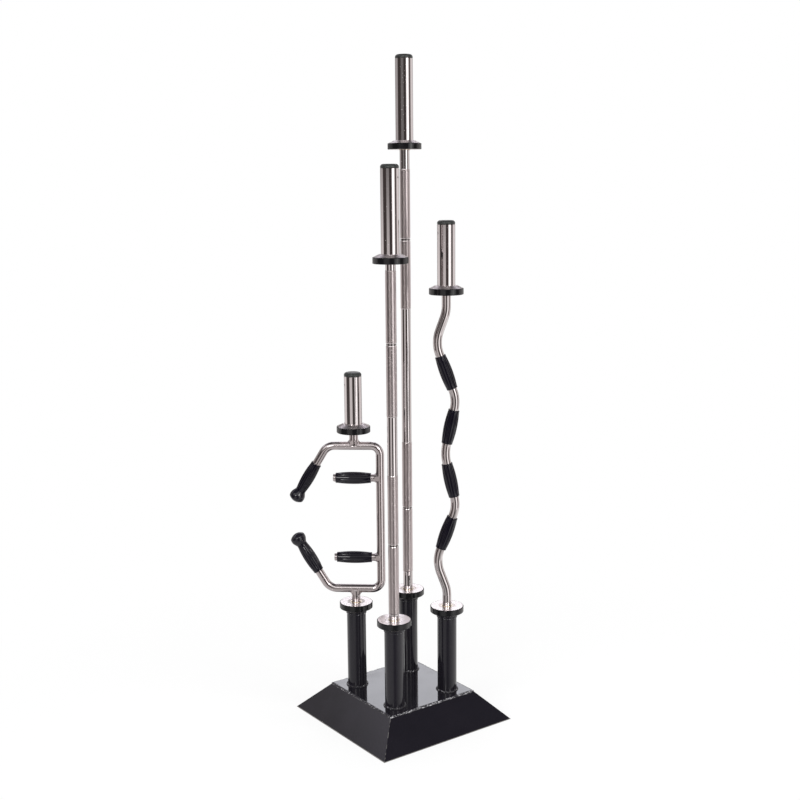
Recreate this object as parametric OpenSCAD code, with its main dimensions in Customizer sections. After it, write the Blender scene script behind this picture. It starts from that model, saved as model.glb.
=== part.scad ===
// Floor rack for four plate-loaded bars: a welded steel base with four holder
// tubes, stocked with a long bar, a short bar, a curl bar and a multi-grip bar.
// Each bar stands with its lower sleeve in a tube and its collar on the mouth.
// The origin is the centre of the base on the floor, and Z points up.

/* [Base] */
// Width of the base at the floor
base_w = 456; // [420:1:560]
// Width of the flat top plate
plate_w = 293; // [280:1:340]
// Height of the top plate's upper face above the floor
base_h = 84; // [70:1:110]
// Thickness of the top plate
plate_t = 6; // [4:0.5:10]
// Thickness of the four sloped skirt plates
skirt_t = 5; // [3:0.5:8]
// Radius of the weld bead along each edge of the top plate
edge_bead_r = 3.5; // [2:0.1:4.2]

/* [Holder tubes] */
// Distance from a tube's axis to the two edges of the top plate next to it
tube_inset = 51.5; // [45:0.5:60]
// Height of the tubes above the top plate
tube_h = 232; // [200:1:280]
// Wall thickness of the tubes
tube_wall = 2.2; // [1.6:0.1:4]
// Gap all round between a sleeve and its tube
tube_play = 0.8; // [0.5:0.1:1.5]
// Height of the ring round a tube's mouth
ring_h = 8; // [5:0.5:14]
// Thickness of the ring round a tube's mouth
ring_t = 2; // [1:0.1:4]
// Leg of the fillet weld round a tube's foot
foot_weld = 5; // [3:0.5:8]

/* [Sleeves and collars] */
// Outside diameter of every sleeve
sleeve_d = 50; // [48:0.5:52]
// Bore of every sleeve
sleeve_bore = 34; // [32:0.5:38]
// Length of the long and short bars' sleeves, from collar to cap
straight_sleeve = 226; // [180:1:260]
// Length of the curl bar's sleeves, from collar to cap
curl_sleeve = 168; // [150:1:220]
// Length of the multi-grip bar's sleeves, from collar to cap
multi_sleeve = 138; // [130:1:180]
// Diameter of the steel collar inside its rim band
collar_d = 92; // [84:0.5:100]
// Height of the collar's rim band
rim_h = 17.5; // [12:0.5:24]
// Thickness of the rim band
rim_t = 2.3; // [1.5:0.1:5]
// Height of the collar's slope on the sleeve side
slope_h = 7.5; // [4:0.5:12]
// Width of the flat shoulder between the sleeve and the slope
shoulder_w = 6; // [5.5:0.5:10]
// Height of an end cap above its sleeve
cap_h = 11; // [8:0.5:16]
// Diameter of an end cap's flat top
cap_top_d = 33; // [24:0.5:40]
// Length of an end cap's plug inside the sleeve
plug_len = 32; // [28:0.5:40]
// Diameter of the screw hole that holds the cap's plug
screw_d = 5; // [3:0.5:7]
// Distance from the sleeve's end to the screw hole
screw_drop = 24; // [16:0.5:25]
// Side that the long bar's screw hole faces, in degrees from +X
long_screw_side = 212; // [0:1:359]
// Side that the short bar's screw hole faces, in degrees from +X
short_screw_side = 296; // [0:1:359]
// Side that the curl bar's screw hole faces, in degrees from +X
curl_screw_side = 166; // [0:1:359]
// Side that the multi-grip bar's screw hole faces, in degrees from +X
multi_screw_side = 165; // [0:1:359]

/* [Bearings] */
// Length of each bronze bush
bush_len = 40; // [25:1:42]
// Height of the inner bush's nose above the collar's face
nose_h = 2; // [1:0.5:4]
// How much wider the bush's nose is than the shaft
nose_step = 4; // [2:0.5:5]
// How much thinner the journal is than the shaft
journal_step = 3; // [2:0.5:5]
// Gap all round between a journal and its bush
journal_play = 0.05; // [0.03:0.01:0.1]
// Gap along the axis between the shaft's shoulder or end washer and a bush
end_play = 0.3; // [0.2:0.1:0.6]
// Diameter of the end washer
washer_d = 31; // [28:0.5:31.5]
// Thickness of the end washer
washer_t = 3; // [2:0.5:5]
// Diameter of the end bolt's shank
bolt_d = 10; // [8:1:12]
// Length of the end bolt's shank below the washer
bolt_len = 24; // [15:1:30]
// Width across the flats of the end bolt's head
bolt_af = 17; // [15:1:20]
// Height of the end bolt's head
bolt_head = 6.4; // [5:0.1:8]
// Room between the end bolt's head and the cap's plug
bolt_room = 4; // [2:0.5:8]

/* [Long and short bars] */
// Overall length of the long bar
long_bar_len = 1829; // [1700:1:2200]
// Overall length of the short bar
short_bar_len = 1524; // [1500:1:1700]
// Diameter of the straight shafts where they are smooth
straight_d = 28; // [26:0.5:30]
// Extra diameter of the knurled stretches
knurl_step = 1.4; // [0.4:0.1:2]
// Smooth stretch between the long bar's knurling and its collar
long_smooth_end = 54.5; // [30:0.5:90]
// Smooth stretch between the short bar's knurling and its collar
short_smooth_end = 18; // [10:0.5:40]
// Smooth stretch at the middle of the long bar
long_centre = 396; // [300:1:440]
// Smooth stretch at the middle of the short bar
short_centre = 164; // [100:1:170]
// Width of the smooth ring mark in the middle of a knurled stretch
ring_mark = 6; // [3:0.5:12]

/* [Curl bar] */
// Overall length of the curl bar
curl_bar_len = 1314; // [1300:1:1500]
// Diameter of the curl bar's shaft
curl_d = 25; // [23:0.5:28]
// Height from the bar's middle to its first bend
curl_inner_run = 156; // [145:1:175]
// Height from the first bend to the second
curl_outer_run = 162; // [160:1:180]
// Slope of the inner run away from the bar's axis, in degrees
curl_inner_angle = 12; // [8:0.5:14]
// Slope of the outer run back across the axis, in degrees
curl_outer_angle = 20; // [17:0.5:22]
// How far the curl bar's middle lies behind the line of its sleeves
curl_offset = 5.5; // [2:0.5:12]
// Bend radius of the curl bar at its middle
curl_mid_bend_r = 125; // [80:1:140]
// Bend radius of the curl bar at its other bends
curl_bend_r = 95; // [60:1:100]
// Turn of the curl bar in its tube as it stands, in degrees
curl_turn_angle = -35.5; // [-60:0.5:60]

/* [Grips] */
// Length of each curl bar grip
curl_grip_len = 99; // [80:1:100]
// Diameter of the curl bar grips at their ends
curl_grip_end_d = 31.5; // [30:0.5:34]
// Diameter of the curl bar grips at their middle
curl_grip_mid_d = 38; // [36:0.5:41]
// Length of each short grip on the multi-grip bar
short_grip_len = 102; // [80:1:105]
// Diameter of the short grips at their ends
short_grip_end_d = 29.5; // [28:0.5:32]
// Diameter of the short grips at their middle
short_grip_mid_d = 35.5; // [34.5:0.5:39]
// Length of each angled grip on the multi-grip bar
long_grip_len = 94; // [70:1:95]
// Diameter of the angled grips at their ends
long_grip_end_d = 30; // [28.5:0.5:32]
// Diameter of the angled grips at their middle
long_grip_mid_d = 36.5; // [35:0.5:39]
// Number of flutes round each grip
flute_count = 10; // [6:1:12]
// Radius of the tool that cuts the flutes
flute_r = 4; // [2.5:0.1:5]
// Depth of the flutes at the middle of a grip
flute_depth = 1.4; // [0.8:0.1:1.6]
// Plain ring left at each end of a grip
grip_ring = 5; // [3:0.5:10]
// Largest diameter of the end knobs on the angled handles
knob_d = 44; // [38:0.5:46]
// Length of an end knob from its grip to its crown
knob_len = 35.5; // [33:0.5:40]
// Height of the cone by which an end knob widens from its grip
knob_cone = 13.5; // [10:0.5:16]
// Height of an end knob's domed crown
knob_dome = 10.5; // [7:0.5:12]

/* [Multi-grip bar] */
// Diameter of the bent frame tube and of the handle posts
frame_d = 24; // [22:0.5:26]
// Diameter of the spindles that carry the sleeves
multi_d = 25; // [24:0.5:28]
// Height between the frame's two rails, centre to centre
frame_h = 428; // [400:1:500]
// Distance from a rail's centre line to the collar's face next to it
multi_neck = 40.5; // [32:0.5:110]
// Distance from the bar's axis to the spine
spine_x = 75; // [70:1:90]
// Distance from the bar's axis to the corners where the rails bend to the handles
corner_x = 77; // [70:1:90]
// Slope of the angled handles below the rail, in degrees
handle_angle = 59; // [55:0.5:65]
// Distance from a rail's corner to the end of its handle's rod
handle_reach = 171; // [168:1:185]
// Bend radius at the spine's corners
spine_bend_r = 26; // [22:0.5:34]
// Bend radius at the handles' corners
handle_bend_r = 38; // [26:0.5:60]
// Height between the two short handles, centre to centre
post_gap = 238; // [200:1:260]
// Distance from the bar's axis to the free end of a short handle
post_reach = 61; // [58:0.5:75]
// Length of the bare stub at the free end of a short handle
post_stub = 7.5; // [4:0.5:12]
// Height of the weld flare where a post or spindle meets the frame
flare_h = 6; // [4:0.5:10]
// Width that the weld flare adds all round
flare_w = 3; // [2:0.5:7]
// Turn of the multi-grip bar in its tube as it stands, in degrees
multi_turn_angle = -39.5; // [-60:0.5:60]

/* [Hidden] */
$fn = 64;
// Number of conical bands in a grip's swell
barrel_bands = 12;
// Depth to which a handle's rod reaches into its end knob
knob_seat = 15;
// How far a cutting tool runs past the face that it cuts
over = 1;
// Chamfer on the sleeves' outer ends
edge_cut = 1;
// Chamfer on the rim bands' edges
rim_cut = 1.2;
// Height of the straight band below an end cap's crown
cap_band = 3;
// Length of the taper at each end of a knurled stretch
knurl_taper = 2;
// Thickness of the flat cap on the free end of a post
post_cap_t = 2;
// Share of a grip's half length over which a flute runs
flute_share = 0.97;
// How much thinner a rod is round its bends
bend_thin = 0.1;
// How far a straight stretch runs into the bend next to it
bend_lap = 0.5;

tube_bore = sleeve_d + 2 * tube_play;
tube_d = tube_bore + 2 * tube_wall;
seat = plate_w / 2 - tube_inset;
mouth_z = base_h + tube_h;
skirt_run = (base_w - plate_w) / 2;
skirt_rise = base_h - plate_t;
side_len = norm([skirt_run, base_h]);
skirt_x = skirt_t * side_len / base_h;
// Half width of the base at the plate's underside, where the skirts begin
eave = plate_w / 2 + plate_t * skirt_run / base_h;
// A bead's axis lies a little inside the middle of the plate's sloped edge
bead_sink = 0.4 * edge_bead_r;
edge_bead_out = (plate_w / 2 + eave) / 2 - bead_sink * base_h / side_len;
edge_bead_z = base_h - plate_t / 2 - bead_sink * skirt_run / side_len;
collar_t = rim_h + slope_h;
shoulder_d = sleeve_d + 2 * shoulder_w;
face_z = mouth_z + collar_t;
multi_bar_len = frame_h + 2 * (multi_neck + collar_t + multi_sleeve + cap_h);

// A bar is its place on the rack, overall length, sleeve length, shaft diameter, turn
// and the side of its screw holes
long_bar = [[seat, seat], long_bar_len, straight_sleeve, straight_d, 0, long_screw_side];
short_bar = [[-seat, -seat], short_bar_len, straight_sleeve, straight_d, 0, short_screw_side];
curl_bar = [[seat, -seat], curl_bar_len, curl_sleeve, curl_d, curl_turn_angle, curl_screw_side];
multi_bar = [[-seat, seat], multi_bar_len, multi_sleeve, multi_d, multi_turn_angle, multi_screw_side];
function place(bar) = bar[0];
function sleeve_len(bar) = bar[2];
function shaft_d(bar) = bar[3];
function turn(bar) = bar[4];
function screw_side(bar) = bar[5];
// Distance between the two collars' faces
function grip_span(bar) = bar[1] - 2 * (collar_t + sleeve_len(bar) + cap_h);
function journal_d(bar) = shaft_d(bar) - journal_step;
// Distance from the collar's face to the end of the journal
function journal_len(bar) =
    collar_t + sleeve_len(bar) - plug_len - bolt_room - bolt_head - washer_t;

// Base

module skirt(side) {
    rotate(90 * side)
    intersection() {
        rotate([90, 0, 90])
            linear_extrude(base_w + 2 * over, center = true)
                polygon([
                    [-eave, skirt_rise],
                    [-base_w / 2, 0],
                    [-base_w / 2 + skirt_x, 0],
                    [-eave + skirt_x, skirt_rise]
                ]);
        linear_extrude(base_h)
            polygon([[0, 0], [-base_w, -base_w], [base_w, -base_w]]);
    }
}

// Draws a long bar with the base's outline as its section
module base_slab() {
    rotate([90, 0, 90])
        linear_extrude(2 * base_w, center = true)
            polygon([
                [-base_w / 2, 0],
                [base_w / 2, 0],
                [plate_w / 2, base_h],
                [-plate_w / 2, base_h]
            ]);
}

// The whole outside of the base as one block, which the plate and the beads are cut to
module base_block() {
    intersection() {
        base_slab();
        rotate(90) base_slab();
    }
}

// The plate's edges are bevelled to the slope of the skirts under them
module top_plate() {
    color("#1b1b1e")
    difference() {
        intersection() {
            base_block();
            translate([-base_w / 2, -base_w / 2, skirt_rise])
                cube([base_w, base_w, plate_t + over]);
        }
        at_seats()
            translate([0, 0, skirt_rise - over])
                cylinder(h = plate_t + 2 * over, d = tube_d);
    }
}

module at_seats() {
    for (x = [-seat, seat], y = [-seat, seat])
        translate([x, y, 0])
            children();
}

module front_skirt() {
    color("#202023") skirt(0);
}

module right_skirt() {
    color("#202023") skirt(1);
}

module rear_skirt() {
    color("#202023") skirt(2);
}

module left_skirt() {
    color("#202023") skirt(3);
}

// A bead is a rod along a seam with the base taken out of it
module base_welds() {
    color("#2a2a2d")
    for (side = [0 : 3])
        rotate(90 * side)
            difference() {
                translate([0, -edge_bead_out, edge_bead_z])
                    rotate([0, 90, 0])
                        cylinder(h = plate_w - 2 * edge_bead_r, r = edge_bead_r, center = true);
                base_block();
            }
}

// Holder tubes

module holder_tube() {
    color("#161618")
    translate([0, 0, skirt_rise])
        difference() {
            cylinder(h = mouth_z - skirt_rise, d = tube_d);
            translate([0, 0, -over])
                cylinder(h = mouth_z - skirt_rise + 2 * over, d = tube_bore);
        }
}

module front_tube() {
    translate(place(short_bar)) holder_tube();
}

module rear_tube() {
    translate(place(long_bar)) holder_tube();
}

module left_tube() {
    translate(place(multi_bar)) holder_tube();
}

module right_tube() {
    translate(place(curl_bar)) holder_tube();
}

module mouth_rings() {
    color("#161618")
    at_seats()
        translate([0, 0, mouth_z - ring_h])
            rotate_extrude()
                translate([tube_d / 2, 0])
                    polygon([
                        [0, 0],
                        [ring_t, ring_t / 2],
                        [ring_t, ring_h - ring_t / 4],
                        [ring_t * 3 / 4, ring_h],
                        [0, ring_h]
                    ]);
}

module tube_welds() {
    color("#2a2a2d")
    at_seats()
        translate([0, 0, base_h])
            rotate_extrude()
                translate([tube_d / 2, 0])
                    intersection() {
                        square(foot_weld);
                        circle(r = foot_weld);
                    }
}

// Sleeve ends, drawn with the collar's face at zero and the cap towards +Z

module upper_end(bar) {
    translate([place(bar).x, place(bar).y, face_z + grip_span(bar)])
        children();
}

module lower_end(bar) {
    translate([place(bar).x, place(bar).y, face_z])
        rotate([180, 0, 0])
            children();
}

module both_ends(bar) {
    lower_end(bar) children();
    upper_end(bar) children();
}

// The sleeve and its collar are turned from one piece
module sleeve(bar) {
    top = collar_t + sleeve_len(bar);
    color("#b9b4b2")
    difference() {
        rotate_extrude()
            polygon([
                [sleeve_bore / 2, 0],
                [collar_d / 2, 0],
                [collar_d / 2, rim_h],
                [shoulder_d / 2, collar_t],
                [sleeve_d / 2, collar_t],
                [sleeve_d / 2, top - edge_cut],
                [sleeve_d / 2 - edge_cut, top],
                [sleeve_bore / 2, top]
            ]);
        translate([0, 0, top - screw_drop])
            rotate([0, 90, screw_side(bar)])
                cylinder(h = sleeve_d, d = screw_d);
    }
}

module rim() {
    color("#151517")
    rotate_extrude()
        translate([collar_d / 2, 0])
            polygon([
                [0, 0],
                [rim_t - rim_cut, 0],
                [rim_t, rim_cut],
                [rim_t, rim_h - rim_cut],
                [rim_t - rim_cut, rim_h],
                [0, rim_h]
            ]);
}

// The crown's edge is a quarter of an ellipse between the band and the flat top
module cap(bar) {
    edge_w = (sleeve_d - cap_top_d) / 2;
    edge_h = cap_h - cap_band;
    color("#1d1d20")
    translate([0, 0, collar_t + sleeve_len(bar)])
        difference() {
            rotate_extrude()
                polygon(concat(
                    [[0, -plug_len], [sleeve_bore / 2, -plug_len]],
                    [[sleeve_bore / 2, 0], [sleeve_d / 2 - edge_cut, 0]],
                    [[sleeve_d / 2, edge_cut]],
                    [for (a = [0 : 15 : 90]) [
                        cap_top_d / 2 + edge_w * cos(a),
                        cap_band + edge_h * sin(a)
                    ]],
                    [[0, cap_h]]
                ));
            translate([0, 0, -screw_drop])
                rotate([0, 90, screw_side(bar)])
                    cylinder(h = sleeve_d, d = screw_d);
        }
}

module bushes(bar) {
    bore = journal_d(bar) + 2 * journal_play;
    outer_z = journal_len(bar) - end_play - bush_len;
    color("#b08d57") {
        difference() {
            union() {
                cylinder(h = bush_len, d = sleeve_bore);
                translate([0, 0, -nose_h])
                    cylinder(h = nose_h + over, d = shaft_d(bar) + nose_step);
            }
            translate([0, 0, -nose_h - over])
                cylinder(h = bush_len + nose_h + 2 * over, d = bore);
        }
        translate([0, 0, outer_z])
            difference() {
                cylinder(h = bush_len, d = sleeve_bore);
                translate([0, 0, -over])
                    cylinder(h = bush_len + 2 * over, d = bore);
            }
    }
}

// The thin end of a shaft, from just inside its shoulder to the end washer
module journal(bar) {
    start = nose_h + end_play + over;
    translate([0, 0, -start])
        difference() {
            cylinder(h = journal_len(bar) + start, d = journal_d(bar));
            translate([0, 0, journal_len(bar) + start - bolt_len])
                cylinder(h = bolt_len + over, d = bolt_d);
        }
}

module end_bolt(bar) {
    color("#8d8a88")
    translate([0, 0, journal_len(bar)]) {
        difference() {
            cylinder(h = washer_t, d = washer_d);
            translate([0, 0, -over])
                cylinder(h = washer_t + 2 * over, d = bolt_d);
        }
        translate([0, 0, -bolt_len])
            cylinder(h = bolt_len + washer_t, d = bolt_d);
        translate([0, 0, washer_t])
            cylinder(h = bolt_head, d = bolt_af / cos(30), $fn = 6);
    }
}

// Straight shafts

// One knurled band with tapered ends, standing at height z
module knurl_band(z, h, bar) {
    knurl_d = shaft_d(bar) + knurl_step;
    translate([0, 0, z])
        rotate_extrude()
            polygon([
                [0, 0],
                [shaft_d(bar) / 2, 0],
                [knurl_d / 2, knurl_taper],
                [knurl_d / 2, h - knurl_taper],
                [shaft_d(bar) / 2, h],
                [0, h]
            ]);
}

// The knurling runs from the smooth centre to the smooth end, with a ring mark half-way
module straight_shaft(bar, centre, smooth_end) {
    shoulder = nose_h + end_play;
    span = grip_span(bar);
    band = ((span - centre) / 2 - smooth_end - ring_mark) / 2;
    color("#a8a2a1") {
        translate([place(bar).x, place(bar).y, face_z]) {
            translate([0, 0, shoulder])
                cylinder(h = span - 2 * shoulder, d = shaft_d(bar));
            for (z = [centre / 2, centre / 2 + band + ring_mark], up = [0, 1])
                knurl_band(span / 2 + (up == 1 ? z : -z - band), band, bar);
        }
        both_ends(bar) journal(bar);
    }
}

module long_bar_shaft() {
    straight_shaft(long_bar, long_centre, long_smooth_end);
}

module short_bar_shaft() {
    straight_shaft(short_bar, short_centre, short_smooth_end);
}

// Bent shafts, drawn in the XZ plane

// Angle of the line from p to q, from +X towards +Z
function heading(p, q) = atan2(q[1] - p[1], q[0] - p[0]);
// Turn at corner i of a path, positive towards +Z from +X
function swing(path, i) =
    let (t = heading(path[i], path[i + 1]) - heading(path[i - 1], path[i]))
    t > 180 ? t - 360 : t < -180 ? t + 360 : t;
// Length of straight that a bend takes from each side of its corner
function set_back(path, radii, i) = radii[i] * tan(abs(swing(path, i)) / 2);
function along(p, q, s) = p + s * (q - p) / norm(q - p);

// A rod of diameter d along a path, with a bend of radii[i] at corner i. The
// straights run a little way into the bends, which are a hair thinner.
module bent_rod(path, radii, d) {
    last = len(path) - 1;
    for (i = [0 : last - 1]) {
        near = i == 0 ? 0 : set_back(path, radii, i) - bend_lap;
        far = i == last - 1 ? 0 : set_back(path, radii, i + 1) - bend_lap;
        p = along(path[i], path[i + 1], near);
        q = along(path[i + 1], path[i], far);
        translate([p[0], 0, p[1]])
            rotate([0, 90 - heading(p, q), 0])
                cylinder(h = norm(q - p), d = d);
    }
    for (i = [1 : last - 1]) {
        t = swing(path, i);
        side = sign(t);
        start = along(path[i], path[i - 1], set_back(path, radii, i));
        h = heading(path[i - 1], path[i]);
        hub = start + side * radii[i] * [-sin(h), cos(h)];
        translate([hub[0], 0, hub[1]])
            rotate([90, 0, 0])
                rotate(side > 0 ? h - 90 : h + 90 + t)
                    rotate_extrude(angle = abs(t), $fn = 96)
                        translate([radii[i], 0])
                            circle(d = d - bend_thin, $fn = 48);
    }
}

// Curl bar

curl_x1 = curl_inner_run * tan(curl_inner_angle) - curl_offset;
curl_x2 = curl_x1 - curl_outer_run * tan(curl_outer_angle);
curl_z2 = curl_inner_run + curl_outer_run;
curl_z3 = curl_z2 - curl_x2 / tan(curl_outer_angle);
curl_end = grip_span(curl_bar) / 2 - nose_h - end_play;
curl_half = [[0, curl_end], [0, curl_z3], [curl_x2, curl_z2], [curl_x1, curl_inner_run]];
curl_path = concat(
    curl_half,
    [[-curl_offset, 0]],
    [for (i = [len(curl_half) - 1 : -1 : 0]) [curl_half[i][0], -curl_half[i][1]]]
);
curl_mid = len(curl_half);
curl_radii = [for (i = [0 : 2 * curl_mid]) i == curl_mid ? curl_mid_bend_r : curl_bend_r];

// Puts what is drawn round the bar's middle in its place on the rack
module at_middle(bar) {
    translate([place(bar).x, place(bar).y, face_z + grip_span(bar) / 2])
        rotate(turn(bar))
            children();
}

module curl_bar_shaft() {
    color("#b0aaa8") {
        at_middle(curl_bar)
            bent_rod(curl_path, curl_radii, curl_d);
        both_ends(curl_bar) journal(curl_bar);
    }
}

// A barrel-shaped grip along +Z with its middle at zero. Its swell is a parabola. A flute
// is cut by two straight strokes, which follow the swell and run out near the end rings.
module grip(length, end_d, mid_d, bore) {
    bulge = (mid_d - end_d) / 2;
    body = length - 2 * grip_ring;
    stroke = body / 2 * flute_share;
    tilt = atan((bulge - flute_depth) / stroke);
    swell = [
        for (i = [0 : barrel_bands])
            let (t = 2 * i / barrel_bands - 1)
            [end_d / 2 + bulge * (1 - t * t), body / 2 * t]
    ];
    color("#121214")
    difference() {
        rotate_extrude()
            polygon(concat(
                [[bore / 2, -length / 2], [end_d / 2, -length / 2]],
                swell,
                [[end_d / 2, length / 2], [bore / 2, length / 2]]
            ));
        for (i = [0 : flute_count - 1], end = [0, 1])
            rotate(i * 360 / flute_count)
                mirror([0, 0, end])
                    translate([mid_d / 2 - flute_depth + flute_r, 0, 0])
                        rotate([0, -tilt, 0])
                            cylinder(h = stroke / cos(tilt), r = flute_r, $fn = 24);
    }
}

// Each grip is centred on the straight stretch between two bends
module curl_bar_grips() {
    at_middle(curl_bar)
        for (i = [curl_mid - 2 : curl_mid + 1]) {
            p = along(curl_path[i], curl_path[i + 1], set_back(curl_path, curl_radii, i));
            q = along(curl_path[i + 1], curl_path[i], set_back(curl_path, curl_radii, i + 1));
            centre = (p + q) / 2;
            translate([centre[0], 0, centre[1]])
                rotate([0, 90 - heading(p, q), 0])
                    grip(curl_grip_len, curl_grip_end_d, curl_grip_mid_d, curl_d);
        }
}

// Multi-grip bar

handle_dir = [-cos(handle_angle), -sin(handle_angle)];
handle_tip = [-corner_x, frame_h / 2] + handle_reach * handle_dir;
frame_half = [handle_tip, [-corner_x, frame_h / 2], [spine_x, frame_h / 2]];
frame_path = concat(
    frame_half,
    [for (i = [len(frame_half) - 1 : -1 : 0]) [frame_half[i][0], -frame_half[i][1]]]
);
frame_radii = [0, handle_bend_r, spine_bend_r, spine_bend_r, handle_bend_r, 0];

module multi_bar_frame() {
    color("#b0aaa8")
    at_middle(multi_bar)
        bent_rod(frame_path, frame_radii, frame_d);
}

// A round bar along +Z that starts on a frame tube lying along Y, with a weld flare
module flared_rod(length, d) {
    flare_d = d + 2 * flare_w;
    difference() {
        union() {
            cylinder(h = length, d = d);
            intersection() {
                union() {
                    cylinder(h = frame_d / 2, d = flare_d);
                    translate([0, 0, frame_d / 2])
                        cylinder(h = flare_h, d1 = flare_d, d2 = d);
                }
                translate([0, 0, frame_d])
                    cube([frame_d - bend_thin, 2 * flare_d, 2 * frame_d], center = true);
            }
        }
        rotate([90, 0, 0])
            cylinder(h = 4 * d, d = frame_d, center = true);
    }
}

module multi_bar_spindles() {
    neck = (grip_span(multi_bar) - frame_h) / 2 - nose_h - end_play;
    color("#b0aaa8") {
        at_middle(multi_bar)
            for (up = [0, 1])
                mirror([0, 0, up])
                    translate([0, 0, frame_h / 2])
                        rotate(90)
                            flared_rod(neck, multi_d);
        both_ends(multi_bar) journal(multi_bar);
    }
}

// Draws on each of the two short handles, with the axis towards its free end
module at_posts() {
    at_middle(multi_bar)
        for (up = [-1, 1])
            translate([spine_x, 0, up * post_gap / 2])
                rotate([0, -90, 0])
                    rotate(90)
                        children();
}

module multi_bar_posts() {
    color("#b0aaa8")
    at_posts()
        flared_rod(spine_x + post_reach - post_cap_t, frame_d - 2);
}

module multi_bar_post_caps() {
    color("#c6c2c0")
    at_posts()
        translate([0, 0, spine_x + post_reach - post_cap_t])
            cylinder(h = post_cap_t, d1 = frame_d - 2, d2 = frame_d - 3);
}

module multi_bar_short_grips() {
    at_posts()
        translate([0, 0, spine_x + post_reach - post_stub - short_grip_len / 2])
            grip(short_grip_len, short_grip_end_d, short_grip_mid_d, frame_d - 2);
}

// Draws on each angled handle, with the origin at the rod's end and +Z to the rail
module at_handles() {
    at_middle(multi_bar)
        for (up = [0, 1])
            mirror([0, 0, up])
                translate([handle_tip[0], 0, handle_tip[1]])
                    rotate([0, 90 - handle_angle, 0])
                        children();
}

module multi_bar_long_grips() {
    at_handles()
        translate([0, 0, knob_seat + long_grip_len / 2])
            grip(long_grip_len, long_grip_end_d, long_grip_mid_d, frame_d);
}

// A knob widens from its grip by a cone to a plain band, and ends in a shallow dome
module multi_bar_end_knobs() {
    crown = knob_len - knob_seat;
    dome_r = (pow(knob_d / 2, 2) + pow(knob_dome, 2)) / (2 * knob_dome);
    color("#121214")
    at_handles()
        difference() {
            intersection() {
                union() {
                    translate([0, 0, knob_seat - knob_cone])
                        cylinder(h = knob_cone, d1 = knob_d, d2 = long_grip_end_d);
                    translate([0, 0, -crown])
                        cylinder(h = knob_len - knob_cone, d = knob_d);
                }
                translate([0, 0, dome_r - crown])
                    sphere(r = dome_r);
            }
            cylinder(h = knob_len, d = frame_d);
        }
}

// Sleeve ends of the four bars

module long_bar_end_bolts() {
    both_ends(long_bar) end_bolt(long_bar);
}

module long_bar_lower_sleeve() {
    lower_end(long_bar) sleeve(long_bar);
}

module long_bar_lower_rim() {
    lower_end(long_bar) rim();
}

module long_bar_lower_cap() {
    lower_end(long_bar) cap(long_bar);
}

module long_bar_lower_bushes() {
    lower_end(long_bar) bushes(long_bar);
}

module long_bar_upper_sleeve() {
    upper_end(long_bar) sleeve(long_bar);
}

module long_bar_upper_rim() {
    upper_end(long_bar) rim();
}

module long_bar_upper_cap() {
    upper_end(long_bar) cap(long_bar);
}

module long_bar_upper_bushes() {
    upper_end(long_bar) bushes(long_bar);
}

module short_bar_end_bolts() {
    both_ends(short_bar) end_bolt(short_bar);
}

module short_bar_lower_sleeve() {
    lower_end(short_bar) sleeve(short_bar);
}

module short_bar_lower_rim() {
    lower_end(short_bar) rim();
}

module short_bar_lower_cap() {
    lower_end(short_bar) cap(short_bar);
}

module short_bar_lower_bushes() {
    lower_end(short_bar) bushes(short_bar);
}

module short_bar_upper_sleeve() {
    upper_end(short_bar) sleeve(short_bar);
}

module short_bar_upper_rim() {
    upper_end(short_bar) rim();
}

module short_bar_upper_cap() {
    upper_end(short_bar) cap(short_bar);
}

module short_bar_upper_bushes() {
    upper_end(short_bar) bushes(short_bar);
}

module curl_bar_end_bolts() {
    both_ends(curl_bar) end_bolt(curl_bar);
}

module curl_bar_lower_sleeve() {
    lower_end(curl_bar) sleeve(curl_bar);
}

module curl_bar_lower_rim() {
    lower_end(curl_bar) rim();
}

module curl_bar_lower_cap() {
    lower_end(curl_bar) cap(curl_bar);
}

module curl_bar_lower_bushes() {
    lower_end(curl_bar) bushes(curl_bar);
}

module curl_bar_upper_sleeve() {
    upper_end(curl_bar) sleeve(curl_bar);
}

module curl_bar_upper_rim() {
    upper_end(curl_bar) rim();
}

module curl_bar_upper_cap() {
    upper_end(curl_bar) cap(curl_bar);
}

module curl_bar_upper_bushes() {
    upper_end(curl_bar) bushes(curl_bar);
}

module multi_bar_end_bolts() {
    both_ends(multi_bar) end_bolt(multi_bar);
}

module multi_bar_lower_sleeve() {
    lower_end(multi_bar) sleeve(multi_bar);
}

module multi_bar_lower_rim() {
    lower_end(multi_bar) rim();
}

module multi_bar_lower_cap() {
    lower_end(multi_bar) cap(multi_bar);
}

module multi_bar_lower_bushes() {
    lower_end(multi_bar) bushes(multi_bar);
}

module multi_bar_upper_sleeve() {
    upper_end(multi_bar) sleeve(multi_bar);
}

module multi_bar_upper_rim() {
    upper_end(multi_bar) rim();
}

module multi_bar_upper_cap() {
    upper_end(multi_bar) cap(multi_bar);
}

module multi_bar_upper_bushes() {
    upper_end(multi_bar) bushes(multi_bar);
}

top_plate();
front_skirt();
rear_skirt();
left_skirt();
right_skirt();
front_tube();
rear_tube();
left_tube();
right_tube();
mouth_rings();
tube_welds();
base_welds();
long_bar_shaft();
long_bar_end_bolts();
long_bar_lower_sleeve();
long_bar_lower_rim();
long_bar_lower_cap();
long_bar_lower_bushes();
long_bar_upper_sleeve();
long_bar_upper_rim();
long_bar_upper_cap();
long_bar_upper_bushes();
short_bar_shaft();
short_bar_end_bolts();
short_bar_lower_sleeve();
short_bar_lower_rim();
short_bar_lower_cap();
short_bar_lower_bushes();
short_bar_upper_sleeve();
short_bar_upper_rim();
short_bar_upper_cap();
short_bar_upper_bushes();
curl_bar_shaft();
curl_bar_grips();
curl_bar_end_bolts();
curl_bar_lower_sleeve();
curl_bar_lower_rim();
curl_bar_lower_cap();
curl_bar_lower_bushes();
curl_bar_upper_sleeve();
curl_bar_upper_rim();
curl_bar_upper_cap();
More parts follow.
